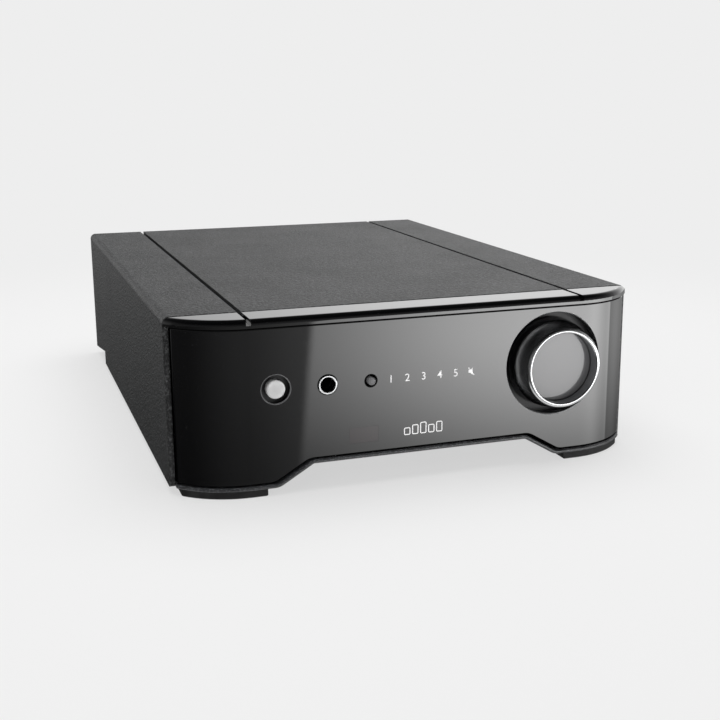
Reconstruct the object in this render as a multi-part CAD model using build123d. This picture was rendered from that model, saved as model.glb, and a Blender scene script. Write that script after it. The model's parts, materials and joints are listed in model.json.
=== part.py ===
from build123d import *
import math
import os

# Integrated amplifier, half-width case. Millimetres, front faces -Y, +Z up.
# Origin: centre of the overall footprint, on the surface that the feet stand on.
# Depths are given from the front plane (the face of the nose) and heights from the case bottom.

# Driving dimensions
CASE_W = 216.0          # width over the cover
CASE_D = 296.0          # front plane to rear face
CASE_H = 73.0           # case bottom to the top of the cover
FOOT_H = 3.2            # rubber feet below the case bottom
KNOB_REACH = 9.2        # knob rim ahead of the front plane
POST_REACH = 26.0       # speaker posts behind the rear face
COVER_T = 2.4           # cover sheet
COVER_R = 3.0           # round along the top side edges
FRONT_DEPTH = 17.0      # front plane to the cover's front edge
CORNER_X = 76.0         # where the front curve leaves the straight
GROOVE_W = 2.0
GROOVE_DEPTH = 1.8      # in the cover
LIP_GROOVE = 2.6        # in the front lip
FASCIA_T = 3.0
FASCIA_INSET = 0.7      # fascia face behind the nose
FASCIA_HALF = 105.2
NOSE_H = 3.6
SEAM = 0.6              # shadow gap above the fascia
BASE_T = 1.8            # base tray section
BASE_GAP = 0.6          # shadow gap between the base lip and the fascia
LEG_X = 64.6            # inner edge of a leg at the bottom
ARCH_X = 49.5           # corner of the arch
ARCH_H = 8.9            # rise of the arch
NOTCH_LEN, NOTCH_H = 47.0, 7.6  # cut-back of the rear bottom edges
NOTCH_IN = 97.0         # the cut-back's inner side
CONTROL_Z = 42.7        # height of every control above the case bottom
POWER_X, JACK_X, SELECT_X, KNOB_X = -65.2, -42.9, -23.8, 63.2
DIGIT_X0, DIGIT_PITCH = -14.75, 7.5
RECESS_R = 23.4         # panel recess around the knob
EDGE = 0.35             # broken edge of a panel
COVER_EDGE = 1.0        # round of the cover's front edges
LIP_R = 0.8             # round of the base tray's front lip
PLAY = 0.05             # radial play of a running fit, and the gap of a push fit

# Derived sizes
FRONT_Y = -(KNOB_REACH + CASE_D + POST_REACH) / 2 + KNOB_REACH
HALF_W = CASE_W / 2
CORNER_R = ((HALF_W - CORNER_X) ** 2 + FRONT_DEPTH ** 2) / (2 * FRONT_DEPTH)
ARCH_TILT = math.atan2(ARCH_H, LEG_X - ARCH_X)
FASCIA_BACK = FASCIA_INSET + FASCIA_T
NOSE_TOP = CASE_H - 0.2
FASCIA_TOP = NOSE_TOP - NOSE_H - SEAM
REAR_T = 1.6
REAR_IN = CASE_D - REAR_T
FLOOR_Z = ARCH_H + BASE_T
BRACKET_Y, BRACKET_T = 12.0, 1.5
BRACKET_BACK = BRACKET_Y + BRACKET_T
BOARD_Z, BOARD_T = 17.4, 1.6
BOARD_TOP = BOARD_Z + BOARD_T
MIN3 = (Align.MIN, Align.MIN, Align.MIN)
BASE3 = (Align.CENTER, Align.CENTER, Align.MIN)

# Places and sizes of the repeated parts
BASE_SCREWS = [(side * 101, y) for side in (-1, 1) for y in (60, 200)]
TAB_X, TAB_Z = 88.0, 9.0
PANEL_SCREWS = [(side * x, z) for side in (-1, 1) for x, z in ((101, 64), (TAB_X, TAB_Z))]
FLOOR_POSTS = [(x, y) for x in (-44, 44) for y in (158, 216, 276)]
STANDOFFS = [(-72, 61), (-72, 20), (33, 61), (33, 18)]
DISPLAY_Y = 9.0
WINDOW_X0, WINDOW_X1, WINDOW_Z0, WINDOW_Z1 = -33.6, -20.5, 15.7, 22.7
REAR_CUT = (CASE_D - 4, CASE_D + 2)     # depths of a cut through the rear panel
JACK_R, JACK_END = 3.2, 33.0
BUSH_R, SHAFT_R = 4.5, 3.0
RIM_BORE, FACE_Y = 15.95, -3.4
CUP_FLOOR = 7.0
PHONO_R, PHONO_END = 4.15, CASE_D + 9.2
PHONO_X0, PHONO_PITCH, PHONO_PAIRS = 84.0, 16.0, 6
LEFT_Z, RIGHT_Z = 48.0, 30.0
LEFT_SOCKETS = [(PHONO_X0 - PHONO_PITCH * n, LEFT_Z) for n in range(PHONO_PAIRS)]
RIGHT_SOCKETS = [(x, RIGHT_Z) for x, z in LEFT_SOCKETS]
PHONO_PLACES = LEFT_SOCKETS + RIGHT_SOCKETS
GROUND_X, GROUND_Z, GROUND_R = 97.5, 39.0, 2.0
POST_R, POST_END = 3.6, CASE_D + POST_REACH
POST_PLACES = [(x, z) for x in (-18, -38) for z in (52, 29)]
PLUG_R, PLUG_DEPTH = 2.05, 18.0
INLET_X, INLET_Z, INLET_FLOOR = -78.0, 40.0, CASE_D - 14
INLET_PINS = [(0, -3.0), (-7, -7.5), (7, -7.5)]
DRAWER_Z, DRAWER_IN = INLET_Z + 9.6, CASE_D - 16
FUSE_Y = DRAWER_IN + 7.1
TRAFO_X, TRAFO_Y, TRAFO_Z, TRAFO_TOP = -44.0, 96.0, FLOOR_Z + 2, 50.0
TRANSISTOR_Y = [168, 183, 198, 213]


# ---- helpers -------------------------------------------------------------------------------------

def place(shape, x, y, z):
    """Move a shape to x, depth y behind the front plane, height z above the case bottom."""
    return Location((x, FRONT_Y + y, FOOT_H + z)) * shape


def slab(x0, x1, y0, y1, z0, z1):
    """A box between two corners."""
    return place(Box(x1 - x0, y1 - y0, z1 - z0, align=MIN3), x0, y0, z0)


def rod_y(x, z, y0, y1, r):
    """A cylinder along the depth."""
    return place(Cylinder(r, y1 - y0, rotation=(-90, 0, 0), align=BASE3), x, y0, z)


def rod_z(x, y, z0, z1, r):
    """An upright cylinder."""
    return place(Cylinder(r, z1 - z0, align=BASE3), x, y, z0)


def rod_x(y, z, x0, x1, r):
    """A cylinder along the width."""
    return place(Cylinder(r, x1 - x0, rotation=(0, 90, 0), align=BASE3), x0, y, z)


def tube_y(x, z, y0, y1, r_out, r_in):
    """A tube along the depth."""
    return rod_y(x, z, y0, y1, r_out) - rod_y(x, z, y0 - 1, y1 + 1, r_in)


def hex_y(x, z, y0, y1, flat_r, bore_r):
    """A hexagonal nut along the depth."""
    nut = extrude(RegularPolygon(flat_r, 6, major_radius=False), y1 - y0)
    return place(Rot(-90, 0, 0) * nut, x, y0, z) - rod_y(x, z, y0 - 1, y1 + 1, bore_r)


def front_edges(shape, inset):
    """The edges that lie on the plan curve, set back by inset."""
    def on_curve(point):
        x, y = abs(point.X) - CORNER_X, point.Y - FRONT_Y - CORNER_R
        gap = math.hypot(x, y) - (CORNER_R - inset) if x > 0 else y + CORNER_R - inset
        return abs(gap) < 0.01
    return [e for e in shape.edges() if all(on_curve(e @ t) for t in (0, 0.5, 1))]


def turned_y(profile, x, z):
    """Revolve a closed profile of (radius, depth) edges about a control's axis along the depth."""
    return place(revolve(make_face(profile), Axis.Y), x, 0, z)


def front_plan(inset, half_w, back, height, z0):
    """A prism whose front follows the case's plan curve, set back by inset."""
    reach = CORNER_R - inset
    side_y = CORNER_R - math.sqrt(reach ** 2 - (half_w - CORNER_X) ** 2)
    swing = math.asin((half_w - CORNER_X) / reach) / 2
    mid = (CORNER_X + reach * math.sin(swing), CORNER_R - reach * math.cos(swing))
    outline = Line((-CORNER_X, inset), (CORNER_X, inset))
    outline += ThreePointArc((CORNER_X, inset), mid, (half_w, side_y))
    if back - side_y > 0.01:
        outline += Line((half_w, side_y), (half_w, back)) + Line((-half_w, back), (-half_w, side_y))
    outline += Line((half_w, back), (-half_w, back))
    outline += ThreePointArc((-half_w, side_y), (-mid[0], mid[1]), (-CORNER_X, inset))
    return place(extrude(make_face(outline), height), 0, 0, z0)


def arch_prism(lift, shift, top, y0, y1, leg_r, arch_r, half_w=HALF_W + 5):
    """A prism along the depth over the base's arched outline, lifted square to the outline."""
    miter = lift * math.tan(ARCH_TILT / 2) + shift
    leg, arch = (LEG_X + miter, lift), (ARCH_X + miter, ARCH_H + lift)
    outline = Polyline((-half_w, lift), (-leg[0], leg[1]), (-arch[0], arch[1]), arch, leg,
                       (half_w, lift), (half_w, top), (-half_w, top), close=True)
    face = make_face(outline)
    face = fillet([v for v in face.vertices() if abs(abs(v.X) - leg[0]) < 0.01], leg_r)
    face = fillet([v for v in face.vertices() if abs(abs(v.X) - arch[0]) < 0.01], arch_r)
    prism = Rot(90, 0, 0) * extrude(face, y1 - y0)
    return place(prism, 0, y1, 0)


# ---- case ----------------------------------------------------------------------------------------

def rear_notch():
    """The wedge that is cut out of the case's bottom edges at the rear."""
    front, back = CASE_D - NOTCH_LEN, CASE_D + 1
    side = Polyline((front, -1), (front, NOTCH_H), (back, 0.9), (back, -1), close=True)
    wedge = extrude(Plane.YZ * make_face(side), HALF_W + 1, both=True)
    return place(wedge, 0, 0, 0) - slab(-NOTCH_IN, NOTCH_IN, 0, CASE_D + 2, -2, 20)


def top_cover():
    """Cover with both side walls, two grooves along the top and a cut-back at the rear bottom."""
    y0 = FRONT_DEPTH + 0.15
    outer = slab(-HALF_W, HALF_W, y0, CASE_D, 0, CASE_H)
    long_edges = outer.edges().filter_by(Axis.Y).group_by(Axis.Z)[-1]
    outer = fillet(long_edges, COVER_R)
    outer = fillet(outer.faces().sort_by(Axis.Y)[0].edges(), COVER_EDGE)
    outer = chamfer(outer.faces().sort_by(Axis.Y)[-1].edges(), EDGE)
    cover = outer - slab(-HALF_W + COVER_T, HALF_W - COVER_T, 0, CASE_D + 1, -1, CASE_H - COVER_T)
    for side in (-1, 1):
        wall_in = side * (HALF_W - COVER_T + 0.5)
        for y, z0, z1 in ((60, BASE_T + 0.1, 14), (200, BASE_T + 0.1, 14), (CASE_D - 7, 58, 69)):
            x0, x1 = sorted((wall_in, side * (HALF_W - COVER_T - 9)))
            cover += slab(x0, x1, y - 5, y + 5, z0, z1)
        for y in (60, 200):
            cover -= rod_z(side * 101, y, 0, 12, 1.25)
        cover -= rod_y(side * 101, 64, CASE_D - 14, CASE_D, 1.25)
        x0 = side * CORNER_X - GROOVE_W / 2
        cover -= slab(x0, x0 + GROOVE_W, 0, CASE_D + 1, CASE_H - GROOVE_DEPTH, CASE_H + 1)
    return cover - rear_notch()


def front_lip():
    """Gloss strip ahead of the cover, ending in a rounded nose."""
    lip = front_plan(0, HALF_W, FRONT_DEPTH, NOSE_H, NOSE_TOP - NOSE_H)
    top_front = [e for e in lip.faces().sort_by(Axis.Z)[-1].edges()
                 if e.center().Y < FRONT_Y + FRONT_DEPTH - 0.5]
    lip = fillet(top_front, 2.6)
    for x in (-CORNER_X, CORNER_X):
        lip -= slab(x - GROOVE_W / 2, x + GROOVE_W / 2, -1, 20, CASE_H - LIP_GROOVE, CASE_H + 1)
    return lip


def fascia_panel():
    """Gloss panel on the plan curve, with its openings for the controls."""
    low, tall = -1.0, CASE_H
    shell = front_plan(FASCIA_INSET, FASCIA_HALF, FRONT_DEPTH, tall, low)
    shell -= front_plan(FASCIA_BACK, FASCIA_HALF + 1, FRONT_DEPTH + 10, tall + 2, low - 1)
    window = arch_prism(BASE_T + BASE_GAP, 1.2, FASCIA_TOP, -1, 30, 7, 8)
    panel = shell & window
    panel = chamfer(front_edges(panel, FASCIA_INSET), EDGE)
    for x, r in ((POWER_X, 6.1), (JACK_X, 4.25), (SELECT_X, 2.65), (KNOB_X, RECESS_R)):
        panel -= rod_y(x, CONTROL_Z, -1, 6, r)
        cone = Cone(r + 2 * EDGE, r - EDGE, 3 * EDGE, rotation=(-90, 0, 0), align=BASE3)
        panel -= place(cone, x, FASCIA_INSET - EDGE, CONTROL_Z)
    panel -= slab(WINDOW_X0, WINDOW_X1, -1, 6, WINDOW_Z0, WINDOW_Z1)
    return panel


def base_tray():
    """Arched base sheet; its front edge shows as a rounded lip below the fascia."""
    half = HALF_W - COVER_T - 0.15
    band = arch_prism(0, 0, 30, -1, REAR_IN, 7, 1.5, half) - arch_prism(BASE_T, 0, 40, -5, CASE_D, 5, 6)
    tray = band & front_plan(0, half, REAR_IN, 40, -1)
    tray = fillet([e for e in front_edges(tray, 0) if abs(e.tangent_at(0.5).Z) < 0.9], LIP_R)
    for x, y in BASE_SCREWS:
        tray -= rod_z(x, y, -1, 5, 1.7)
        tray -= place(Cone(3.1, 1.5, 1.6, align=BASE3), x, y, -0.001)
    for x in (-TAB_X, TAB_X):
        tray += slab(x - 5, x + 5, CASE_D - 10, REAR_IN, BASE_T - 0.5, 15)
        tray -= rod_y(x, TAB_Z, CASE_D - 14, CASE_D, 1.25)
    for x, y in FLOOR_POSTS:
        tray -= rod_z(x, y, -1, 20, 1.25)
    return tray - rear_notch() - rod_z(TRAFO_X, TRAFO_Y, -1, 20, 3.2)


def rear_panel():
    """Rear panel with the openings for sockets, posts and the mains inlet."""
    half = HALF_W - COVER_T - 0.15
    panel = arch_prism(BASE_T + 0.1, 0, CASE_H - COVER_T - 0.2, REAR_IN, CASE_D, 5, 6, half)
    for x, z in PHONO_PLACES:
        panel -= rod_y(x, z, *REAR_CUT, PHONO_R + PLAY)
    for x, z in POST_PLACES:
        panel -= rod_y(x, z, *REAR_CUT, POST_R + PLAY)
    panel -= rod_y(GROUND_X, GROUND_Z, *REAR_CUT, GROUND_R + PLAY)
    panel -= slab(INLET_X - 14, INLET_X + 14, *REAR_CUT, INLET_Z - 16, INLET_Z + 16)
    for x, z in PANEL_SCREWS:
        panel -= rod_y(x, z, *REAR_CUT, 1.6)
    return panel


def rubber_feet():
    """Four rubber feet under the legs; the front pair follows the plan curve."""
    plan = front_plan(0.8, HALF_W - 3, 46, FOOT_H, -FOOT_H)
    feet = []
    for side in (-1, 1):
        x0, x1 = sorted((side * 69.6, side * 103.8))
        rear = slab(x0, x1, 216, 250, -FOOT_H, 0)
        rear = fillet(rear.edges().filter_by(Axis.Z), 4)
        for foot in (plan & slab(x0, x1, 0, 46, -FOOT_H, 0), rear):
            feet.append(chamfer(foot.faces().sort_by(Axis.Z)[0].edges(), 0.5))
    return Compound(children=feet)


def case_screws():
    """Countersunk screws up through the base, and button-head screws through the rear panel."""
    screws = []
    for x, y in BASE_SCREWS:
        head = Cone(3.0, 1.2, 1.6, align=BASE3) - Box(1, 4, 1.2) - Box(4, 1, 1.2)
        screws.append(place(head, x, y, 0) + rod_z(x, y, 1.2, 11.5, 1.2))
    for x, z in PANEL_SCREWS:
        head = rod_y(x, z, CASE_D, CASE_D + 1.6, 2.8)
        head = fillet(head.edges().group_by(Axis.Y)[-1], 0.8)
        head -= rod_y(x, z, CASE_D + 0.8, CASE_D + 3, 1.1)
        screws.append(head + rod_y(x, z, CASE_D - 9, CASE_D, 1.2))
    return Compound(children=screws)


def front_bracket():
    """Inner steel bracket that the front parts are bolted to."""
    plate = slab(-95, 95, BRACKET_Y, BRACKET_BACK, 14, 67)
    plate += slab(-46, 46, BRACKET_Y, 26, FLOOR_Z + 0.1, FLOOR_Z + 1.6)
    plate += slab(-46, 46, BRACKET_Y, BRACKET_BACK, FLOOR_Z + 0.1, 15)
    plate -= rod_y(POWER_X, CONTROL_Z, 10, 15, 3.2)
    plate -= slab(JACK_X - 7.6, JACK_X + 7.6, 10, 15, CONTROL_Z - 8.2, CONTROL_Z + 8.2)
    plate -= rod_y(KNOB_X, CONTROL_Z, 10, 15, BUSH_R + PLAY)
    for x, z in STANDOFFS:
        plate -= rod_y(x, z, 10, 15, 1.25)
    return plate


def fascia_standoffs():
    """Spacers between the fascia and the inner bracket, each with its screw pin."""
    pins = []
    for x, z in STANDOFFS:
        spacer = rod_y(x, z, FASCIA_BACK, BRACKET_Y, 3.0)
        pins.append(spacer + rod_y(x, z, BRACKET_Y - 1, BRACKET_BACK + 1, 1.2))
    return Compound(children=pins)


def remote_window():
    """Dark window over the infra-red receiver."""
    x0, x1, z0, z1 = WINDOW_X0 + PLAY, WINDOW_X1 - PLAY, WINDOW_Z0 + PLAY, WINDOW_Z1 - PLAY
    return slab(x0, x1, FASCIA_INSET, FASCIA_INSET + 2, z0, z1)


# ---- front controls ------------------------------------------------------------------------------

def power_button():
    """Round push button with a stem into its switch."""
    face = rod_y(POWER_X, CONTROL_Z, 0.5, 9.0, 4.0)
    face = fillet(face.edges().group_by(Axis.Y)[0], 0.6)
    return face + rod_y(POWER_X, CONTROL_Z, 8.5, 16.5, 2.5)


def power_button_guide():
    """Guide tube between the fascia and the bracket."""
    return tube_y(POWER_X, CONTROL_Z, FASCIA_BACK, BRACKET_Y, 6.4, 4.1)


def power_switch():
    """Latching mains switch behind the bracket."""
    body = slab(POWER_X - 10, POWER_X + 10, BRACKET_BACK, 36, CONTROL_Z - 9, CONTROL_Z + 9)
    body = chamfer(body.edges().filter_by(Axis.Y), 1.0)
    body -= rod_y(POWER_X, CONTROL_Z, 10, 22, 2.8)
    for x in (-6, 6):
        for z in (-4, 4):
            tag = slab(-0.4, 0.4, 35.5, 42, z - 2, z + 2)
            body += Location((POWER_X + x, 0, CONTROL_Z)) * tag
    return body


def headphone_jack_ring():
    """Chrome bushing that shows around the jack's mouth."""
    ring = tube_y(JACK_X, CONTROL_Z, 0.2, 6, 4.15, JACK_R)
    return chamfer(ring.edges().group_by(Axis.Y)[0], 0.25)


def headphone_jack_body():
    """Moulded jack body with its bore and a slot beside it for the contact springs."""
    body = slab(JACK_X - 7.3, JACK_X + 7.3, 6, 36, CONTROL_Z - 8, CONTROL_Z + 8)
    body = chamfer(body.edges().filter_by(Axis.Y), 0.8)
    body -= rod_y(JACK_X, CONTROL_Z, 5, JACK_END, JACK_R)
    return body - slab(JACK_X + 2.5, JACK_X + 4.6, 7, 31, CONTROL_Z - 1.3, CONTROL_Z + 1.3)


def jack_contacts():
    """Spring contacts, just clear of the bore, with their tails below the body."""
    strips = []
    for y in (8, 16, 24):
        strips.append(slab(JACK_X + 3.3, JACK_X + 3.7, y, y + 6.5, CONTROL_Z - 1.1, CONTROL_Z + 1.1))
    for y in (16, 22, 28):
        strips.append(slab(JACK_X - 0.5, JACK_X + 0.5, y, y + 1, CONTROL_Z - 12, CONTROL_Z - 8))
    return Compound(children=strips)


def select_button():
    """Small domed push button."""
    button = rod_y(SELECT_X, CONTROL_Z, -1.1, 5.0, 1.75)
    return fillet(button.edges().group_by(Axis.Y)[0], 0.9)


def select_switch():
    """Tactile switch on the display board, just behind the button."""
    body = slab(SELECT_X - 3, SELECT_X + 3, 6.4, DISPLAY_Y, CONTROL_Z - 3, CONTROL_Z + 3)
    return body + rod_y(SELECT_X, CONTROL_Z, 6.0, 6.6, 1.7)


def display_board():
    """Upright circuit board behind the numerals."""
    return slab(-35.5, 25.5, DISPLAY_Y, DISPLAY_Y + 1.6, 14, 56)


def indicator_leds():
    """Five input indicators and the mute indicator."""
    leds = []
    for n in range(6):
        x = DIGIT_X0 + n * DIGIT_PITCH
        leds.append(slab(x - 1.0, x + 1.0, DISPLAY_Y - 1.2, DISPLAY_Y, CONTROL_Z - 1.4, CONTROL_Z + 1.4))
    return Compound(children=leds)


def light_guide():
    """Clear bar with one cell per indicator."""
    bar = slab(-20.4, 25, FASCIA_BACK, DISPLAY_Y - 0.1, CONTROL_Z - 5, CONTROL_Z + 5)
    for n in range(6):
        x = DIGIT_X0 + n * DIGIT_PITCH
        bar -= slab(x - 2.6, x + 2.6, 5.4, DISPLAY_Y, CONTROL_Z - 3.5, CONTROL_Z + 3.5)
    return bar


def infrared_receiver():
    """Receiver on the display board behind the window."""
    x = (WINDOW_X0 + WINDOW_X1) / 2
    z = (WINDOW_Z0 + WINDOW_Z1) / 2
    body = slab(x - 3, x + 3, 5.6, DISPLAY_Y, z - 3.3, z + 3.3)
    return body + place(Sphere(2.0), x, 5.6, z)


def knob_recess_cup():
    """Dark cup behind the fascia that the knob turns in."""
    cup = tube_y(KNOB_X, CONTROL_Z, FASCIA_BACK, CUP_FLOOR + 1.4, RECESS_R + 1.4, RECESS_R)
    cup = cup & front_plan(FASCIA_BACK, FASCIA_HALF, FRONT_DEPTH + 10, CASE_H, 0)
    return cup + tube_y(KNOB_X, CONTROL_Z, CUP_FLOOR, CUP_FLOOR + 1.4, RECESS_R + 1.4, 7.0)


def volume_knob_ring():
    """Knob shell: a bright rim that flares back into the recess."""
    back, bore = 5.2, RIM_BORE
    profile = ThreePointArc((17.9, -8.2), (18.5, -3.6), (19.9, 0.6))
    profile += Line((19.9, 0.6), (20.4, back)) + Line((20.4, back), (bore, back))
    profile += Line((bore, back), (bore, -8.9)) + ThreePointArc((bore, -8.9), (16.4, -9.2), (17.0, -9.1))
    profile += ThreePointArc((17.0, -9.1), (17.6, -8.8), (17.9, -8.2))
    return turned_y(profile, KNOB_X, CONTROL_Z)


def volume_knob_face():
    """Gloss face, set deep inside the ring."""
    face = rod_y(KNOB_X, CONTROL_Z, FACE_Y, FACE_Y + 1.8, RIM_BORE - PLAY)
    return chamfer(face.edges().group_by(Axis.Y)[0], 0.3)


def volume_knob_hub():
    """Hub plate behind the face, with a boss on the shaft."""
    hub = rod_y(KNOB_X, CONTROL_Z, FACE_Y + 1.8, 5.2, RIM_BORE - PLAY)
    hub += rod_y(KNOB_X, CONTROL_Z, 5.2, 6.2, 20.2)
    hub += rod_y(KNOB_X, CONTROL_Z, 6.2, 8.9, 5.5)
    return hub - rod_y(KNOB_X, CONTROL_Z, FACE_Y + 2.3, 12, SHAFT_R)


def potentiometer_shaft():
    """Shaft from the hub through the bushing into the potentiometer."""
    return rod_y(KNOB_X, CONTROL_Z, FACE_Y + 2.3, 24, SHAFT_R)


def potentiometer_bushing():
    """Threaded bushing through the bracket."""
    return tube_y(KNOB_X, CONTROL_Z, 9.9, 15.5, BUSH_R, SHAFT_R + PLAY)


def potentiometer_nut():
    """Nut that clamps the bushing to the bracket."""
    return hex_y(KNOB_X, CONTROL_Z, 10.0, BRACKET_Y, 6.4, BUSH_R + PLAY)


def potentiometer_body():
    """Potentiometer case, with solder tags."""
    body = slab(KNOB_X - 13, KNOB_X + 13, BRACKET_BACK, 26, CONTROL_Z - 13, CONTROL_Z + 13)
    body = chamfer(body.edges().filter_by(Axis.Y), 2.0)
    body -= rod_y(KNOB_X, CONTROL_Z, 10, 15.6, BUSH_R + PLAY)
    body -= rod_y(KNOB_X, CONTROL_Z, 10, 24.5, SHAFT_R + 0.3)
    for n in range(6):
        x = KNOB_X - 10 + 4 * n
        body += slab(x - 0.5, x + 0.5, 18 + 3 * (n % 2), 19 + 3 * (n % 2), CONTROL_Z - 17, CONTROL_Z - 12.8)
    return body


def motor_gear_case():
    """Sealed gear case on the back of the potentiometer."""
    case = slab(KNOB_X - 13, KNOB_X + 13, 26, 40, CONTROL_Z - 13, CONTROL_Z + 13)
    return fillet(case.edges().filter_by(Axis.Y), 3.0)


def volume_motor():
    """Can motor that turns the control by remote."""
    motor = rod_y(KNOB_X, CONTROL_Z, 40, 62, 10)
    motor = fillet(motor.edges().group_by(Axis.Y)[-1], 1.5)
    motor += rod_y(KNOB_X, CONTROL_Z, 61, 64, 3)
    for x in (-5, 5):
        motor += slab(KNOB_X + x - 1, KNOB_X + x + 1, 61.5, 66, CONTROL_Z - 0.3, CONTROL_Z + 0.3)
    return motor


# ---- rear connections ----------------------------------------------------------------------------

def phono_shells():
    """Outer shells of the phono sockets, with hexagonal flanges."""
    shells = []
    for x, z in PHONO_PLACES:
        shell = rod_y(x, z, REAR_IN, PHONO_END, PHONO_R)
        shell = chamfer(shell.edges().group_by(Axis.Y)[-1], 0.3)
        shell += hex_y(x, z, CASE_D, CASE_D + 1.2, 5.4, 3.5)
        shells.append(shell - rod_y(x, z, CASE_D - 4, CASE_D + 16, 3.3))
    return Compound(children=shells)


def phono_insulators(places):
    """Coloured inserts of one channel's phono sockets."""
    return Compound(children=[tube_y(x, z, REAR_IN, PHONO_END - 0.3, 3.25, 2.05) for x, z in places])


def phono_contacts():
    """Centre contacts inside the inserts."""
    y0, y1 = CASE_D - 3.5, PHONO_END - 0.6
    return Compound(children=[tube_y(x, z, y0, y1, 2.0, 1.65) for x, z in PHONO_PLACES])


def phono_housings():
    """Moulded blocks behind the panel, two pairs of sockets in each."""
    blocks = []
    for n in range(3):
        x = PHONO_X0 - 32 * n
        block = slab(x - 23.5, x + 7.5, CASE_D - 16, REAR_IN - 0.1, BOARD_TOP, 58)
        block = chamfer(block.edges().filter_by(Axis.Y), 1.0)
        for px, pz in PHONO_PLACES:
            block -= rod_y(px, pz, *REAR_CUT, 2.1)
        blocks.append(block)
    return Compound(children=blocks)


def ground_post():
    """Threaded stud for a turntable's earth lead."""
    stud = rod_y(GROUND_X, GROUND_Z, CASE_D - 7, CASE_D + 12, GROUND_R)
    stud = chamfer(stud.edges().group_by(Axis.Y)[-1], 0.4)
    return stud + rod_y(GROUND_X, GROUND_Z, CASE_D - 7, REAR_IN, 4.0)


def knurled(x, z, y0, y1, r, bore, count, groove):
    """A grip turned about the depth axis, with grooves around it."""
    grip = rod_y(x, z, y0, y1, r)
    grip = chamfer(grip.edges(), 0.5)
    for n in range(count):
        turn = 2 * math.pi * n / count
        cx, cz = x + (r + groove * 0.4) * math.cos(turn), z + (r + groove * 0.4) * math.sin(turn)
        grip -= rod_y(cx, cz, y0 + 1.4, y1 - 1.4, groove)
    return grip - rod_y(x, z, y0 - 1, y1 + 1, bore)


def ground_nut():
    """Thumb nut on the ground stud."""
    return knurled(GROUND_X, GROUND_Z, CASE_D + 2, CASE_D + 9, 5.2, GROUND_R + PLAY, 12, 0.6)


def speaker_post_cores():
    """Threaded cores with a socket for a plug pin in each end."""
    cores = []
    for x, z in POST_PLACES:
        core = rod_y(x, z, CASE_D - 14, POST_END - 0.5, POST_R)
        core = chamfer(core.edges().group_by(Axis.Y)[-1], 0.3)
        cores.append(core - rod_y(x, z, POST_END - 0.5 - PLUG_DEPTH, POST_END + 1, PLUG_R))
    return Compound(children=cores)


def speaker_post_collars():
    """Insulating collars between the panel and the caps."""
    return Compound(children=[tube_y(x, z, CASE_D, CASE_D + 4.5, 7.6, POST_R + PLAY) for x, z in POST_PLACES])


def speaker_cap(n):
    """Turning cap of one speaker post."""
    x, z = POST_PLACES[n]
    return knurled(x, z, CASE_D + 5, POST_END, 7.0, POST_R + PLAY, 10, 1.1)


def mains_inlet():
    """Mains inlet with a shrouded cavity and a slot for the fuse drawer."""
    body = slab(INLET_X - 13.8, INLET_X + 13.8, CASE_D - 26, CASE_D + 1, INLET_Z - 15.8, INLET_Z + 15.8)
    flange = slab(INLET_X - 17, INLET_X + 17, CASE_D, CASE_D + 2, INLET_Z - 19, INLET_Z + 19)
    body += fillet(flange.edges().filter_by(Axis.Y), 2.0)
    cavity = slab(INLET_X - 12.2, INLET_X + 12.2, INLET_FLOOR, CASE_D + 6, INLET_Z - 13.5, INLET_Z + 3.0)
    upper = cavity.edges().filter_by(Axis.Y).group_by(Axis.Z)[-1]
    body -= chamfer(upper, 4.0)
    body -= slab(INLET_X - 12.5, INLET_X + 12.5, DRAWER_IN, CASE_D + 6, DRAWER_Z - 4.2, DRAWER_Z + 4.2)
    for dx, dz in INLET_PINS:
        x, z = INLET_X + dx, INLET_Z + dz
        body -= slab(x - 1.05, x + 1.05, CASE_D - 34, CASE_D - 4, z - 2.05, z + 2.05)
    return body


def mains_inlet_pins():
    """Three blades that pass through the inlet's floor."""
    pins = []
    for dx, dz in INLET_PINS:
        x, z = INLET_X + dx, INLET_Z + dz
        pins.append(slab(x - 1, x + 1, CASE_D - 33, CASE_D - 1.5, z - 2, z + 2))
    return Compound(children=pins)


def fuse_drawer():
    """Drawer that slides out of the inlet with the fuse."""
    drawer = slab(INLET_X - 12.3, INLET_X + 12.3, DRAWER_IN + 0.5, CASE_D + 2.6, DRAWER_Z - 4, DRAWER_Z + 4)
    drawer -= slab(INLET_X - 10.3, INLET_X + 10.3, FUSE_Y - 2.9, FUSE_Y + 2.9, DRAWER_Z - 2.8, DRAWER_Z + 5)
    return drawer - slab(INLET_X - 4, INLET_X + 4, CASE_D + 1.6, CASE_D + 6, DRAWER_Z - 0.8, DRAWER_Z + 0.8)


def mains_fuse():
    """Glass fuse lying in the drawer."""
    return rod_x(FUSE_Y, DRAWER_Z, INLET_X - 10, INLET_X + 10, 2.6)


# ---- inside --------------------------------------------------------------------------------------

def main_board():
    """Main circuit board."""
    board = slab(-98, 98, 150, CASE_D - 12, BOARD_Z, BOARD_TOP)
    for x in (-98, 98):
        board -= slab(x - 6, x + 6, 240, 262, BOARD_Z - 1, BOARD_TOP + 1)
    for x, y in FLOOR_POSTS:
        board -= rod_z(x, y, 10, 20, 1.6)
    return board


def board_standoffs():
    """Spacers under the main board."""
    posts = [rod_z(x, y, FLOOR_Z, BOARD_Z, 3.0) - rod_z(x, y, 0, 30, 1.25) for x, y in FLOOR_POSTS]
    return Compound(children=posts)


def board_screws():
    """Screws through the main board into the spacers, and through the transistors into their bar."""
    screws = []
    for x, y in FLOOR_POSTS:
        head = rod_z(x, y, BOARD_TOP, BOARD_TOP + 1.8, 2.6)
        head = fillet(head.edges().group_by(Axis.Z)[-1], 0.7)
        screws.append(head + rod_z(x, y, FLOOR_Z - 1, BOARD_TOP, 1.2))
    for y in TRANSISTOR_Y:
        screws.append(rod_x(y, 44, 91.5, 93.5, 3) + rod_x(y, 44, 93, 102, 1.4))
    return Compound(children=screws)


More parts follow.
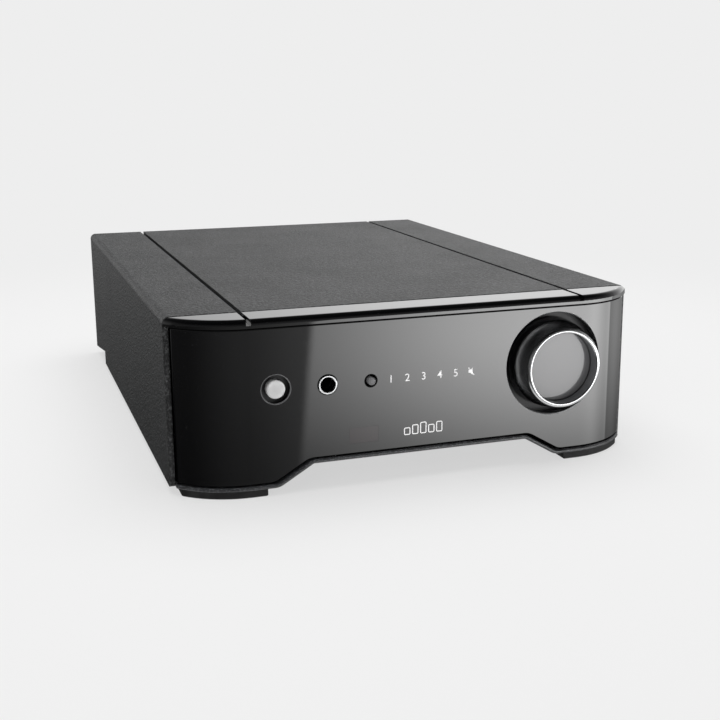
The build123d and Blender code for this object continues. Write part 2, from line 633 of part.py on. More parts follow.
def toroidal_transformer():
    """Wound toroid on its pad."""
    ring = rod_z(TRAFO_X, TRAFO_Y, TRAFO_Z, TRAFO_TOP, 43)
    ring -= rod_z(TRAFO_X, TRAFO_Y, 0, 70, 15)
    return fillet(ring.edges().filter_by(GeomType.CIRCLE), 6)


def transformer_pad():
    """Rubber pad under the transformer."""
    return rod_z(TRAFO_X, TRAFO_Y, FLOOR_Z, TRAFO_Z, 34) - rod_z(TRAFO_X, TRAFO_Y, 0, 70, 3.2)


def transformer_clamp():
    """Dished clamp plate on top of the transformer."""
    plate = rod_z(TRAFO_X, TRAFO_Y, TRAFO_TOP, TRAFO_TOP + 1.5, 28)
    return plate - rod_z(TRAFO_X, TRAFO_Y, 0, 70, 3.2)


def transformer_bolt():
    """Bolt up through the base, pad, transformer and clamp, with its nut."""
    top = TRAFO_TOP + 1.5
    bolt = rod_z(TRAFO_X, TRAFO_Y, ARCH_H - 3, ARCH_H, 6) + rod_z(TRAFO_X, TRAFO_Y, ARCH_H - 1, top + 7, 3.0)
    nut = extrude(RegularPolygon(5.0, 6, major_radius=False), 5)
    return bolt + place(nut, TRAFO_X, TRAFO_Y, top)


def reservoir_capacitors():
    """Four large capacitors in a row on the main board."""
    cans = []
    for n in range(4):
        can = rod_z(-34 + 27 * n, 178, BOARD_TOP, 58, 12.5)
        can = fillet(can.edges().group_by(Axis.Z)[-1], 1.5)
        cans.append(can - rod_z(-34 + 27 * n, 178, 57.4, 60, 9.5))
    return Compound(children=cans)


def heatsink_bar():
    """Angle section that carries the output transistors beside the cover's wall."""
    bar = slab(98.5, 102.5, 160, 222, BOARD_TOP, 62) + slab(90, 99, 160, 222, BOARD_TOP, BOARD_TOP + 3)
    for y in TRANSISTOR_Y:
        bar -= rod_x(y, 44, 90, 110, 1.5)
    return bar


def output_transistors():
    """Power transistors clamped to the heatsink bar."""
    parts = []
    for y in TRANSISTOR_Y:
        body = slab(93.5, 98.5, y - 6.5, y + 6.5, 30, 50) - rod_x(y, 44, 90, 100, 1.7)
        for leg in (-4, 0, 4):
            body += slab(95, 96, y + leg - 0.6, y + leg + 0.6, BOARD_TOP + 3, 30.5)
        parts.append(body)
    return Compound(children=parts)


def board_components():
    """Rectifier, speaker relays, small capacitors and chips, soldered to the main board."""
    rectifier = slab(-74, -54, 166, 172, 30, 46)
    for n in range(4):
        rectifier += slab(-72.5 + 5 * n, -71.5 + 5 * n, 168.5, 169.5, BOARD_TOP, 30.5)
    parts = [rectifier]
    for x in (-46, -26):
        relay = slab(x, x + 16, 242, 266, BOARD_TOP, 35)
        parts.append(chamfer(relay.faces().sort_by(Axis.Z)[-1].edges(), 0.8))
    for n in range(6):
        x = 12 + 13 * n
        for y in (226, 256):
            can = rod_z(x, y, BOARD_TOP, BOARD_TOP + 12, 4)
            parts.append(chamfer(can.edges().group_by(Axis.Z)[-1], 0.4))
    parts += [slab(14 + 18 * n, 24 + 18 * n, 237, 244, BOARD_TOP, BOARD_TOP + 4) for n in range(4)]
    return Compound(children=parts)


PARTS = {
    "top_cover": top_cover,
    "front_lip": front_lip,
    "fascia_panel": fascia_panel,
    "base_tray": base_tray,
    "rear_panel": rear_panel,
    "rubber_feet": rubber_feet,
    "case_screws": case_screws,
    "front_bracket": front_bracket,
    "fascia_standoffs": fascia_standoffs,
    "remote_window": remote_window,
    "power_button": power_button,
    "power_button_guide": power_button_guide,
    "power_switch": power_switch,
    "headphone_jack_ring": headphone_jack_ring,
    "headphone_jack_body": headphone_jack_body,
    "jack_contacts": jack_contacts,
    "select_button": select_button,
    "select_switch": select_switch,
    "display_board": display_board,
    "indicator_leds": indicator_leds,
    "light_guide": light_guide,
    "infrared_receiver": infrared_receiver,
    "knob_recess_cup": knob_recess_cup,
    "volume_knob_ring": volume_knob_ring,
    "volume_knob_face": volume_knob_face,
    "volume_knob_hub": volume_knob_hub,
    "potentiometer_shaft": potentiometer_shaft,
    "potentiometer_bushing": potentiometer_bushing,
    "potentiometer_nut": potentiometer_nut,
    "potentiometer_body": potentiometer_body,
    "motor_gear_case": motor_gear_case,
    "volume_motor": volume_motor,
    "phono_shells": phono_shells,
    "phono_insulators_left": lambda: phono_insulators(LEFT_SOCKETS),
    "phono_insulators_right": lambda: phono_insulators(RIGHT_SOCKETS),
    "phono_contacts": phono_contacts,
    "phono_housings": phono_housings,
    "ground_post": ground_post,
    "ground_nut": ground_nut,
    "speaker_post_cores": speaker_post_cores,
    "speaker_post_collars": speaker_post_collars,
    "right_speaker_cap_red": lambda: speaker_cap(0),
    "right_speaker_cap_black": lambda: speaker_cap(1),
    "left_speaker_cap_red": lambda: speaker_cap(2),
    "left_speaker_cap_black": lambda: speaker_cap(3),
    "mains_inlet": mains_inlet,
    "mains_inlet_pins": mains_inlet_pins,
    "fuse_drawer": fuse_drawer,
    "mains_fuse": mains_fuse,
    "main_board": main_board,
    "board_standoffs": board_standoffs,
    "board_screws": board_screws,
    "toroidal_transformer": toroidal_transformer,
    "transformer_pad": transformer_pad,
    "transformer_clamp": transformer_clamp,
    "transformer_bolt": transformer_bolt,
    "reservoir_capacitors": reservoir_capacitors,
    "heatsink_bar": heatsink_bar,
    "output_transistors": output_transistors,
    "board_components": board_components,
}

os.makedirs("parts", exist_ok=True)
for name, make in PARTS.items():
    export_step(make(), f"parts/{name}.step")
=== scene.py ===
"""Looks of a half-width integrated amplifier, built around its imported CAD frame."""

import json
import logging
import math
from dataclasses import dataclass
from enum import Enum
from typing import Optional, Sequence, Union

import bmesh
import bpy
from mathutils import Euler, Matrix, Vector


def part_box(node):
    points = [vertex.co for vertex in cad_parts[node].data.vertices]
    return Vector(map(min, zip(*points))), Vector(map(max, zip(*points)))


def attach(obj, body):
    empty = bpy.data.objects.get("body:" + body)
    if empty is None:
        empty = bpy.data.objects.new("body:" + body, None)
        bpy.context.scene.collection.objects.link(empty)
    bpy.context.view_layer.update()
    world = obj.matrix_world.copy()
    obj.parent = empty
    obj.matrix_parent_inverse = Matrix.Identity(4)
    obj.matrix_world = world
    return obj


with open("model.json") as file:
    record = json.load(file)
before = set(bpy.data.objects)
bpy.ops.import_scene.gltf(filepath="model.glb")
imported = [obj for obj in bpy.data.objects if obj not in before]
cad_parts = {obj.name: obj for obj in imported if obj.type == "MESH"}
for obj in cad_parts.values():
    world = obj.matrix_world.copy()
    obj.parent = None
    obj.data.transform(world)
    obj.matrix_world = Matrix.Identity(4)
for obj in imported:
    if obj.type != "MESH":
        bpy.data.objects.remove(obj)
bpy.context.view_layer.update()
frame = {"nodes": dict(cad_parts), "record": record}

MM = 0.001
log = logging.getLogger("amplifier")

Colour = tuple[float, float, float]
Step = tuple[float, float, float, float]
Value = Union[float, Sequence[float], "Signal"]

# Openings in the gloss front, whose bevels get a painted highlight.
RECESS_RADIUS = 23.4 * MM
POWER_HOLE_RADIUS = 6.1 * MM


def middle(node: str) -> Vector:
    """Centre of a node's box."""
    low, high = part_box(node)
    return (low + high) / 2


def shade(colour: Colour, gain: float, lift: float = 0.0) -> Colour:
    """A colour made lighter or darker, up to white."""
    return tuple(min(1.0, part * gain + lift) for part in colour)


# ---- shader arithmetic ---------------------------------------------------------------------------


class Signal:
    """A shader socket that takes part in Python arithmetic."""

    def __init__(self, recipe: "Recipe", socket: bpy.types.NodeSocket) -> None:
        """Wraps one output socket of a recipe's node."""
        self.recipe = recipe
        self.socket = socket

    def _math(self, operation: str, *values: Value) -> "Signal":
        """A Math node on the values, in order."""
        inputs = dict(enumerate(values))
        return self.recipe.node("ShaderNodeMath", {"operation": operation}, inputs)

    def __add__(self, other: Value) -> "Signal":
        """Sum."""
        return self._math("ADD", self, other)

    def __radd__(self, other: Value) -> "Signal":
        """Sum, with the signal on the right."""
        return self._math("ADD", other, self)

    def __sub__(self, other: Value) -> "Signal":
        """Difference."""
        return self._math("SUBTRACT", self, other)

    def __rsub__(self, other: Value) -> "Signal":
        """Difference, with the signal on the right."""
        return self._math("SUBTRACT", other, self)

    def __mul__(self, other: Value) -> "Signal":
        """Product."""
        return self._math("MULTIPLY", self, other)

    def __rmul__(self, other: Value) -> "Signal":
        """Product, with the signal on the right."""
        return self._math("MULTIPLY", other, self)

    def __truediv__(self, other: Value) -> "Signal":
        """Quotient."""
        return self._math("DIVIDE", self, other)

    def __pow__(self, other: Value) -> "Signal":
        """Power."""
        return self._math("POWER", self, other)

    def __abs__(self) -> "Signal":
        """Size without its sign."""
        return self._math("ABSOLUTE", self)

    def most(self, other: Value) -> "Signal":
        """The larger of the two."""
        return self._math("MAXIMUM", self, other)

    def angle(self, other: "Signal") -> "Signal":
        """The angle whose tangent is this signal over the other."""
        return self._math("ARCTAN2", self, other)

    def wave(self) -> "Signal":
        """Sine."""
        return self._math("SINE", self)

    def step(self, low: float, high: float, start: float = 0.0, end: float = 1.0) -> "Signal":
        """A smooth step.

        Args:
            low: Where the step begins.
            high: Where it ends.
            start: Its value up to low.
            end: Its value from high on.

        Returns:
            The stepped signal.
        """
        settings = {"interpolation_type": "SMOOTHSTEP"}
        inputs = {0: self, 1: low, 2: high, 3: start, 4: end}
        return self.recipe.node("ShaderNodeMapRange", settings, inputs)


class Recipe:
    """A node tree that is being written."""

    def __init__(self, tree: bpy.types.NodeTree) -> None:
        """Starts from an empty tree."""
        self.tree = tree
        tree.nodes.clear()

    def node(
        self,
        kind: str,
        settings: Optional[dict] = None,
        inputs: Optional[dict] = None,
        output: Union[int, str] = 0,
    ) -> Signal:
        """Adds a node.

        Args:
            kind: The node's type.
            settings: Its properties.
            inputs: A number, a colour or a Signal for each socket, by name or index.
            output: The socket that the signal is read from.

        Returns:
            The chosen output.
        """
        made = self.tree.nodes.new(kind)
        for key, value in (settings or {}).items():
            setattr(made, key, value)
        for key, value in (inputs or {}).items():
            if isinstance(value, Signal):
                self.tree.links.new(value.socket, made.inputs[key])
            else:
                made.inputs[key].default_value = value
        return Signal(self, made.outputs[output] if made.outputs else made.inputs[0])

    def place(
        self, centre: Sequence[float] = (0, 0, 0), scale: Sequence[float] = (1, 1, 1)
    ) -> Signal:
        """Object coordinates, in metres, about a centre.

        Args:
            centre: The point that becomes the origin.
            scale: Stretch of the pattern along each axis.

        Returns:
            The vector.
        """
        coords = self.node("ShaderNodeTexCoord", output="Object")
        offset = tuple(-c * s for c, s in zip(centre, scale))
        inputs = {"Vector": coords, "Location": offset, "Scale": tuple(scale)}
        return self.node("ShaderNodeMapping", {"vector_type": "POINT"}, inputs)

    def parts(self, vector: Signal) -> tuple[Signal, Signal, Signal]:
        """The three components of a vector.

        Args:
            vector: Any vector.

        Returns:
            Its x, y and z.
        """
        first = self.node("ShaderNodeSeparateXYZ", inputs={0: vector})
        node = first.socket.node
        return first, Signal(self, node.outputs[1]), Signal(self, node.outputs[2])

    def noise(
        self,
        size: float,
        detail: float = 2.0,
        rough: float = 0.5,
        vector: Optional[Signal] = None,
    ) -> Signal:
        """Soft noise.

        Args:
            size: Width of its blotches in metres.
            detail: Octaves of finer noise.
            rough: How strong the finer noise is.
            vector: Coordinates, or object coordinates if left out.

        Returns:
            A value around one half.
        """
        inputs = {
            "Vector": vector or self.place(),
            "Scale": 1 / size,
            "Detail": detail,
            "Roughness": rough,
        }
        return self.node("ShaderNodeTexNoise", {"noise_dimensions": "3D"}, inputs)

    def cells(self, size: float, vector: Optional[Signal] = None) -> Signal:
        """Distance to the nearest of scattered points, with cells of a size in metres."""
        inputs = {"Vector": vector or self.place(), "Scale": 1 / size}
        return self.node("ShaderNodeTexVoronoi", {"feature": "F1"}, inputs)

    def tint(self, factor: Value, dark: Union[Colour, Signal], light: Colour) -> Signal:
        """A colour between two colours.

        Args:
            factor: 0 for the dark colour, 1 for the light one.
            dark: A colour or a signal that carries one.
            light: The other colour.

        Returns:
            The mixed colour.
        """
        first = dark if isinstance(dark, Signal) else (*dark, 1.0)
        inputs = {0: factor, 6: first, 7: (*light, 1.0)}
        return self.node("ShaderNodeMix", {"data_type": "RGBA"}, inputs, 2)

    def bump(self, height: Signal, depth: float, strength: float = 1.0) -> Signal:
        """A normal from a height of 0 to 1 that stands for a depth in metres."""
        inputs = {"Height": height, "Distance": depth, "Strength": strength}
        return self.node("ShaderNodeBump", inputs=inputs)


# ---- finishes ------------------------------------------------------------------------------------


@dataclass(frozen=True)
class Finish:
    """A surface finish. Subclasses say what goes into the shader."""

    def sockets(self, recipe: Recipe) -> dict:
        """The shader's sockets with their values or signals."""
        raise NotImplementedError

    def material(self, name: str) -> bpy.types.Material:
        """Writes the finish as a material.

        Args:
            name: The material's name.

        Returns:
            The new material.
        """
        made = bpy.data.materials.new(name)
        made.use_nodes = True
        recipe = Recipe(made.node_tree)
        shader = recipe.node("ShaderNodeBsdfPrincipled", inputs=self.sockets(recipe))
        recipe.node("ShaderNodeOutputMaterial", inputs={"Surface": shader})
        return made


@dataclass(frozen=True)
class PowderCoat(Finish):
    """Textured powder coat on sheet metal."""

    base: Colour
    grain: float = 1.35 * MM
    relief: float = 0.58 * MM
    shine: float = 0.42
    cloud: float = 40 * MM
    pit_share: float = 0.25

    def sockets(self, recipe: Recipe) -> dict:
        """Orange-peel grain over fine pits, with slight clouding in the paint.

        Args:
            recipe: The material's node tree.

        Returns:
            The shader's sockets with their values or signals.
        """
        grain = recipe.noise(self.grain, 2.0, 0.55)
        pits = recipe.cells(self.grain * 0.6)
        height = grain * (1 - self.pit_share) + pits * self.pit_share
        cloud = recipe.noise(self.cloud, 2.0)
        fleck = recipe.noise(self.grain * 0.9, 1.0).step(0.5, 0.66)
        return {
            "Base Color": recipe.tint(fleck, self.base, shade(self.base, 3.4, 0.01)),
            "Roughness": self.shine + 0.1 * (cloud - 0.5) + 0.12 * (grain - 0.5),
            "IOR": 1.62,
            "Normal": recipe.bump(height, self.relief),
        }


@dataclass(frozen=True)
class GlossLacquer(Finish):
    """Deep gloss on a moulded or lacquered panel."""

    base: Colour
    shine: float = 0.035
    ior: float = 1.52
    peel: float = 0.0012 * MM
    dust: Colour = (0.05, 0.05, 0.052)
    # Openings (across, up, radius) whose bevels get a painted highlight.
    highlight_rims: Sequence[tuple[float, float, float]] = ()
    rim_y: float = 0.0
    rim_width: float = 0.4 * MM
    rim_blur: float = 0.05 * MM
    # Colour of the painted highlight on the bevels.
    rim_highlight_grey: Colour = (0.16, 0.16, 0.165)

    def _painted_rim_highlights(self, recipe: Recipe) -> Signal:
        """One on the satin bevels round the openings, where a highlight is painted, nothing
        elsewhere.

        Args:
            recipe: The material's node tree.

        Returns:
            A value of 0 to 1.
        """
        x, y, z = recipe.parts(recipe.place())
        back = self.rim_y + self.rim_width
        shallow = y.step(back, back + 2 * self.rim_blur, 1.0, 0.0)
        bevels = 0.0
        for across, up, radius in self.highlight_rims:
            reach = ((x - across) ** 2.0 + (z - up) ** 2.0) ** 0.5
            edge = radius + self.rim_width
            bevels = reach.step(edge - self.rim_blur, edge + 2 * self.rim_blur, 1.0, 0.0) + bevels
        return shallow * bevels

    def sockets(self, recipe: Recipe) -> dict:
        """A clear coat with the faintest orange peel, wiped-dust streaks and a painted highlight on
        the bevels round the openings.

        Args:
            recipe: The material's node tree.

        Returns:
            The shader's sockets with their values or signals.
        """
        haze = recipe.noise(9 * MM, 4.0, 0.6, recipe.place(scale=(1, 1, 3)))
        dust = recipe.noise(0.9 * MM, 2.0).step(0.7, 0.78)
        peel = recipe.noise(2.6 * MM, 1.0)
        highlight_rims = self._painted_rim_highlights(recipe)
        panel = recipe.tint(dust * 0.5, self.base, self.dust)
        return {
            # The bevels are rougher and painted a lighter grey, a painted highlight.
            "Base Color": recipe.tint(highlight_rims, panel, self.rim_highlight_grey),
            "Roughness": self.shine + 0.02 * haze.step(0.45, 0.75) + 0.05 * dust + 0.3 * highlight_rims,
            "IOR": self.ior,
            "Coat Weight": 1.0,
            "Coat Roughness": 0.02,
            "Coat IOR": self.ior,
            "Normal": recipe.bump(peel, self.peel),
        }


@dataclass(frozen=True)
class TurnedMetal(Finish):
    """Plated or polished metal with the marks of its lathe about an axis along the depth."""

    base: Colour
    shine: float
    centre: tuple[float, float] = (0.0, 0.0)
    pitch: float = 0.25 * MM
    ripple: float = 0.0006 * MM
    reach: float = 24 * MM
    metallic: float = 1.0
    spread: float = 0.05
    patch: float = 6 * MM

    def sockets(self, recipe: Recipe) -> dict:
        """Fine rings about the axis, and soft variation from handling.

        Args:
            recipe: The material's node tree.

        Returns:
            The shader's sockets with their values or signals.
        """
        x, depth, z = recipe.parts(recipe.place((self.centre[0], 0, self.centre[1])))
        radius = (x * x + z * z) ** 0.5
        near = radius.step(self.reach, self.reach * 1.2, 0.5, 0.0)
        rings = ((radius + depth) * (2 * math.pi / self.pitch)).wave() * near + 0.5
        handled = recipe.noise(self.patch, 3.0)
        return {
            "Base Color": recipe.tint(handled.step(0.3, 0.7), shade(self.base, 0.82), self.base),
            "Metallic": self.metallic,
            "Roughness": self.shine + self.spread * (handled - 0.4).most(0.0) + 0.02 * rings,
            "Normal": recipe.bump(rings, self.ripple),
        }


@dataclass(frozen=True)
class SheetMetal(Finish):
    """Plated, painted or bare metal stock with a directional grain."""

    base: Colour
    shine: float
    grain: Sequence[float] = (1, 12, 1)
    line: float = 0.5 * MM
    relief: float = 0.004 * MM
    spangle: float = 7 * MM

    def sockets(self, recipe: Recipe) -> dict:
        """Drawn lines along the stock and clouded plating.

        Args:
            recipe: The material's node tree.

        Returns:
            The shader's sockets with their values or signals.
        """
        lines = recipe.noise(self.line, 3.0, 0.6, recipe.place(scale=[1 / g for g in self.grain]))
        cloud = recipe.noise(self.spangle, 3.0, 0.6)
        return {
            "Base Color": recipe.tint(cloud.step(0.3, 0.7), shade(self.base, 0.7), self.base),
            "Metallic": 1.0,
            "Roughness": self.shine + 0.14 * (cloud - 0.5) + 0.1 * (lines - 0.5),
            "Normal": recipe.bump(lines, self.relief),
        }


@dataclass(frozen=True)
class Moulding(Finish):
    """Injection-moulded plastic with a fine spark-eroded texture."""

    base: Colour
    shine: float = 0.42
    texture: float = 0.35 * MM
    relief: float = 0.008 * MM
    flow: float = 12 * MM
    # Emission strength; any glow is painted light, as the plastic is no lamp.
    glow: float = 0.0

    def sockets(self, recipe: Recipe) -> dict:
        """Fine texture, flow clouding, slightly rubbed patches and an optional glow, which is painted
        light.

        Args:
            recipe: The material's node tree.

        Returns:
            The shader's sockets with their values or signals.
        """
        texture = recipe.noise(self.texture, 2.0, 0.6)
        flow = recipe.noise(self.flow, 3.0)
        lighter = shade(self.base, 1.25, 0.003)
        return {
            "Base Color": recipe.tint(flow.step(0.35, 0.7), self.base, lighter),
            "Roughness": self.shine + 0.12 * (flow - 0.5) + 0.08 * (texture - 0.5),
            "IOR": 1.49,
            # Self-glow, painted light.
            "Emission Color": (*self.base, 1.0),
            "Emission Strength": self.glow,
            "Normal": recipe.bump(texture, self.relief),
        }


@dataclass(frozen=True)
class Rubber(Finish):
    """Moulded rubber with bloom on its faces."""

    base: Colour
    shine: float = 0.72
    patch: float = 5 * MM
    texture: float = 0.6 * MM
    relief: float = 0.03 * MM

    def sockets(self, recipe: Recipe) -> dict:
        """Dull mottling and a coarse, soft texture.

        Args:
            recipe: The material's node tree.

        Returns:
            The shader's sockets with their values or signals.
        """
        bloom = recipe.noise(self.patch, 4.0, 0.65)
        texture = recipe.noise(self.texture, 2.0)
        lighter = shade(self.base, 1.8, 0.006)
        return {
            "Base Color": recipe.tint(bloom.step(0.4, 0.75), self.base, lighter),
            "Roughness": self.shine + 0.15 * (bloom - 0.5),
            "IOR": 1.45,
            "Normal": recipe.bump(texture, self.relief),
        }


@dataclass(frozen=True)
class ClearMoulding(Finish):
    """Clear or tinted see-through plastic and glass."""

    tint: Colour
    shine: float = 0.04
    ior: float = 1.49

    def sockets(self, recipe: Recipe) -> dict:
        """Transmission with faint surface streaks.

        Args:
            recipe: The material's node tree.

        Returns:
            The shader's sockets with their values or signals.
        """
        streak = recipe.noise(4 * MM, 2.0, 0.5, recipe.place(scale=(1, 3, 1)))
        return {
            "Base Color": (*self.tint, 1.0),
            "Roughness": self.shine + 0.05 * streak.step(0.5, 0.8),
            "IOR": self.ior,
            "Transmission Weight": 0.92,
        }


@dataclass(frozen=True)
class SolderMask(Finish):
    """Circuit board under solder mask, with the copper showing faintly through."""

    mask: Colour = (0.012, 0.075, 0.03)
    copper: Colour = (0.03, 0.14, 0.05)
    pitch: float = 2.54 * MM
    run: float = 14 * MM
    threads: int = 6
    relief: float = 0.03 * MM

    def sockets(self, recipe: Recipe) -> dict:
        """Tracks on a regular pitch, broken into runs, over a woven laminate.

        Args:
            recipe: The material's node tree.

        Returns:
            The shader's sockets with their values or signals.
        """
        x, y, z = recipe.parts(recipe.place())
        turn = 2 * math.pi / self.pitch
        runs = recipe.noise(self.run, 1.0)
        across = (x * turn).wave().step(0.1, 0.5) * runs.step(0.5, 0.52)
        along = ((y + z) * turn).wave().step(0.1, 0.5) * runs.step(0.46, 0.44)
        tracks = across.most(along)
        thread = turn * self.threads
        weave = (x * thread).wave() * ((y + z) * thread).wave() * 0.5 + 0.5
        return {
            "Base Color": recipe.tint(tracks, self.mask, self.copper),
            "Roughness": 0.28 + 0.12 * weave,
            "IOR": 1.5,
            "Normal": recipe.bump(tracks * 0.8 + weave * 0.2, self.relief),
        }


@dataclass(frozen=True)
class TapeWrap(Finish):
    """Varnished tape wound round a ring-shaped core."""

    centre: tuple[float, float]
    tape: Colour = (0.34, 0.27, 0.07)
    edge: Colour = (0.12, 0.09, 0.03)
    turns: int = 46
    slant: float = 60.0
    relief: float = 0.12 * MM

    def sockets(self, recipe: Recipe) -> dict:
        """Overlapping turns that fan out from the core's axis.

        Args:
            recipe: The material's node tree.

        Returns:
            The shader's sockets with their values or signals.
        """
        x, y, z = recipe.parts(recipe.place((*self.centre, 0)))
        turn = y.angle(x) * self.turns + z * self.slant
        lap = turn.wave() * 0.5 + 0.5
        varnish = recipe.noise(5 * MM, 3.0)
        return {
            "Base Color": recipe.tint(lap.step(0.0, 0.35), self.edge, self.tape),
            "Roughness": 0.22 + 0.2 * varnish,
            "IOR": 1.5,
            "Coat Weight": 0.6,
            "Normal": recipe.bump(lap.step(0.0, 0.5), self.relief),
        }


@dataclass(frozen=True)
class Sleeve(Finish):
    """Shrunk plastic sleeve of a capacitor, with a polarity stripe."""

    base: Colour
    stripe: Colour = (0.5, 0.5, 0.48)
    pitch: float = 27 * MM
    first: float = -34 * MM
    row: float = 21.6 * MM

    def sockets(self, recipe: Recipe) -> dict:
        """A pale stripe down the same side of every can.

        Args:
            recipe: The material's node tree.

        Returns:
            The shader's sockets with their values or signals.
        """
        x, y, z = recipe.parts(recipe.place((self.first, self.row, 0)))
        across = (x * (2 * math.pi / self.pitch)).wave()
        stripe = abs(across).step(0.35, 0.3) * y.step(4 * MM, 5 * MM)
        wrinkle = recipe.noise(1.6 * MM, 2.0, 0.5, recipe.place(scale=(1, 1, 0.3)))
        return {
            "Base Color": recipe.tint(stripe, self.base, self.stripe),
            "Roughness": 0.2 + 0.16 * wrinkle,
            "IOR": 1.5,
            "Normal": recipe.bump(wrinkle, 0.02 * MM),
        }


class Slot(Enum):
    """A material slot from the record; nothing in this script uses it."""

    PRINT = "white_plastic"


def finishes() -> dict[str, Finish]:
    """The finish of every material slot.

    Returns:
        Finishes by slot name.
    """
    knob = tuple(middle("volume_knob_ring").xz)
    power = tuple(middle("power_button").xz)
    # Openings whose bevels get a painted highlight.
    highlight_rims = ((*knob, RECESS_RADIUS), (*power, POWER_HOLE_RADIUS))
    rim_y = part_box("fascia_panel")[0].y
    return {
        "cover_black": PowderCoat((0.016, 0.0165, 0.017)),
        "base_black": PowderCoat((0.03, 0.031, 0.033), grain=0.7 * MM, relief=0.03 * MM, shine=0.36),
        "rear_black": PowderCoat((0.012, 0.012, 0.013), grain=0.6 * MM, relief=0.03 * MM, shine=0.45),
        "gloss_black": GlossLacquer((0.002, 0.002, 0.0023), highlight_rims=highlight_rims, rim_y=rim_y),
        "window_black": GlossLacquer((0.012, 0.004, 0.006), shine=0.12, peel=0.004 * MM),
        "rubber_black": Rubber((0.012, 0.012, 0.012)),
        "bright_chrome": TurnedMetal((0.86, 0.87, 0.88), 0.21, knob),
        "silver_satin": TurnedMetal((0.92, 0.92, 0.92), 0.48, power, spread=0.1, metallic=0.45),
        "black_plastic": Moulding((0.012, 0.012, 0.013)),
        "smoke_plastic": Moulding((0.2, 0.2, 0.205), shine=0.3),
        "clear_plastic": ClearMoulding((0.95, 0.97, 0.97)),
        "white_plastic": Moulding((0.78, 0.78, 0.76), shine=0.35),
        "red_plastic": Moulding((0.42, 0.008, 0.008), shine=0.25),
        "zinc_steel": SheetMetal((0.6, 0.61, 0.63), 0.34),
        "black_steel": SheetMetal((0.05, 0.05, 0.052), 0.32),
        "gold_plate": TurnedMetal((0.86, 0.62, 0.25), 0.16, spread=0.08),
        "board_green": SolderMask(),
        "toroid_wrap": TapeWrap(tuple(middle("toroidal_transformer").xy)),
        "capacitor_sleeve": Sleeve((0.008, 0.01, 0.05)),
        "bare_aluminium": SheetMetal((0.74, 0.75, 0.77), 0.3),
        "fuse_glass": ClearMoulding((0.95, 0.98, 0.97), 0.02, 1.5),
    }


# ---- mesh helpers --------------------------------------------------------------------------------


class Facing(Enum):
    """Which way a flat mark looks once it is stood up."""

    FRONT = 0.0
    REAR = math.pi


